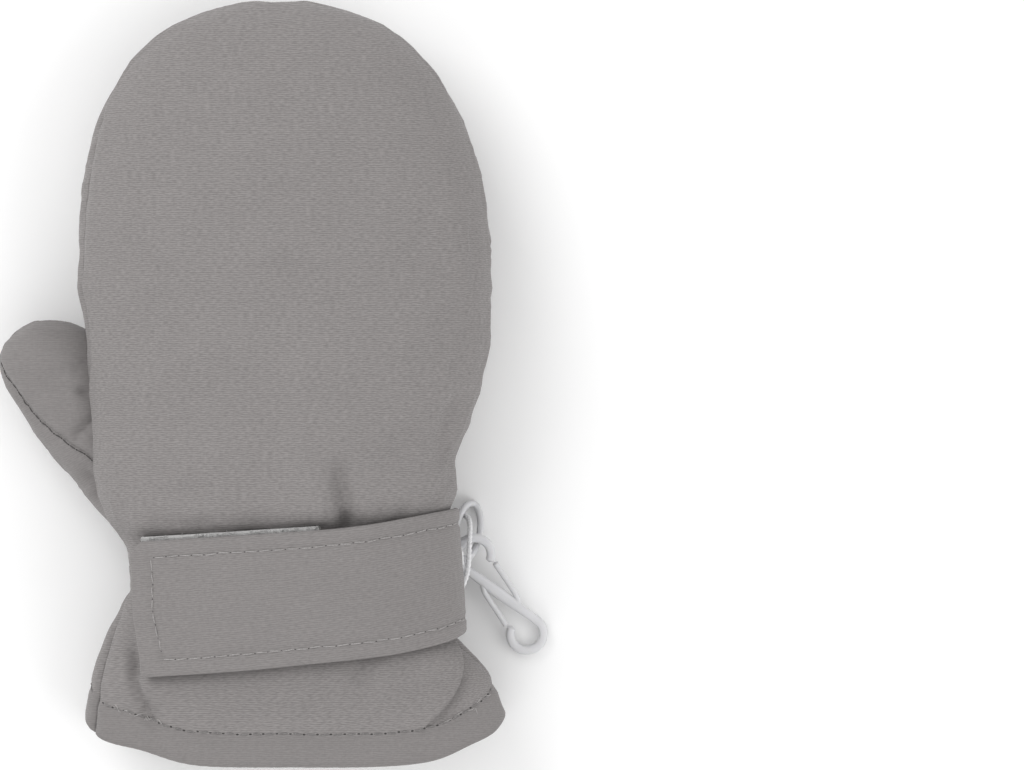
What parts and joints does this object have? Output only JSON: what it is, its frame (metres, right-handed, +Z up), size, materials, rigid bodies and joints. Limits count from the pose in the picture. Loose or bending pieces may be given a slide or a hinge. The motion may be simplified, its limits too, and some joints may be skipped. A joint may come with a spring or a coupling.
{
  "type": "ski mitten",
  "caption": "Child's padded ski mitten with a pile lining, a wrist strap closed by hook and loop tape, and a snap hook on a cord loop.",
  "frame": {"origin": "on the surface that the mitten lies on, under the middle of the mitten's own box, without the cord loop, the ring and the snap hook", "axes": "+Y from the cuff to the fingertips, +X towards the little finger's side, +Z up out of the back of the hand"},
  "size_m": [0.1182, 0.1652, 0.0372],
  "materials": {
    "shell_fabric": "matte grey woven nylon",
    "wadding": "white polyester wadding",
    "pile_lining": "off-white curly pile",
    "elastic": "woven elastic",
    "hook_tape": "hook tape",
    "loop_tape": "loop tape",
    "braided_cord": "white braid",
    "clip_plastic": "translucent white, satin"
  },
  "bodies": {
    "hand": {"back_shell": "shell_fabric", "palm_shell": "shell_fabric", "cuff_hem": "shell_fabric", "back_wadding": "wadding", "palm_wadding": "wadding", "back_lining": "pile_lining", "palm_lining": "pile_lining", "wrist_elastic": "elastic", "wrist_loop_tape": "loop_tape"},
    "thumb": {"thumb_upper_shell": "shell_fabric", "thumb_palm_shell": "shell_fabric", "thumb_wadding": "wadding", "thumb_lining": "pile_lining"},
    "strap": {"strap_top_ply": "shell_fabric", "strap_backing": "shell_fabric", "strap_hook_tape": "hook_tape"},
    "cord": {"cord_loop": "braided_cord", "clip_ring": "clip_plastic"},
    "clip": {"snap_hook": "clip_plastic"},
    "lower_gate": {"lower_gate": "clip_plastic"},
    "upper_gate": {"upper_gate": "clip_plastic"}
  },
  "joints": [
    {"name": "thumb_swing", "type": "hinge", "parent": "hand", "child": "thumb", "pos_m": [-0.0309, -0.0315, 0.01], "axis": [0, 0, 1], "range_deg": [0, 20], "stiffness_Nm_per_rad": 0.05},
    {"name": "strap_peel", "type": "hinge", "parent": "hand", "child": "strap", "pos_m": [0.0461, -0.0415, 0.0152], "axis": [0, 1, 0], "range_deg": [0, 100]},
    {"name": "cord_swing", "type": "hinge", "parent": "hand", "child": "cord", "pos_m": [0.0427, -0.045, 0.015], "axis": [0, -1, 0], "range_deg": [0, 28]},
    {"name": "clip_swing", "type": "hinge", "parent": "cord", "child": "clip", "pos_m": [0.04748, -0.03632, 0.00646], "axis": [0, 0, 1], "range_deg": [0, 45]},
    {"name": "lower_gate_press", "type": "hinge", "parent": "clip", "child": "lower_gate", "pos_m": [0.04992, -0.04531, 0.00464], "axis": [0.1095, -0.1666, 0.9799], "range_deg": [0, 14], "stiffness_Nm_per_rad": 0.004},
    {"name": "upper_gate_press", "type": "hinge", "parent": "clip", "child": "upper_gate", "pos_m": [0.05688, -0.04589, 0.00376], "axis": [0.1095, -0.1666, 0.9799], "range_deg": [0, 14], "stiffness_Nm_per_rad": 0.004}
  ]
}
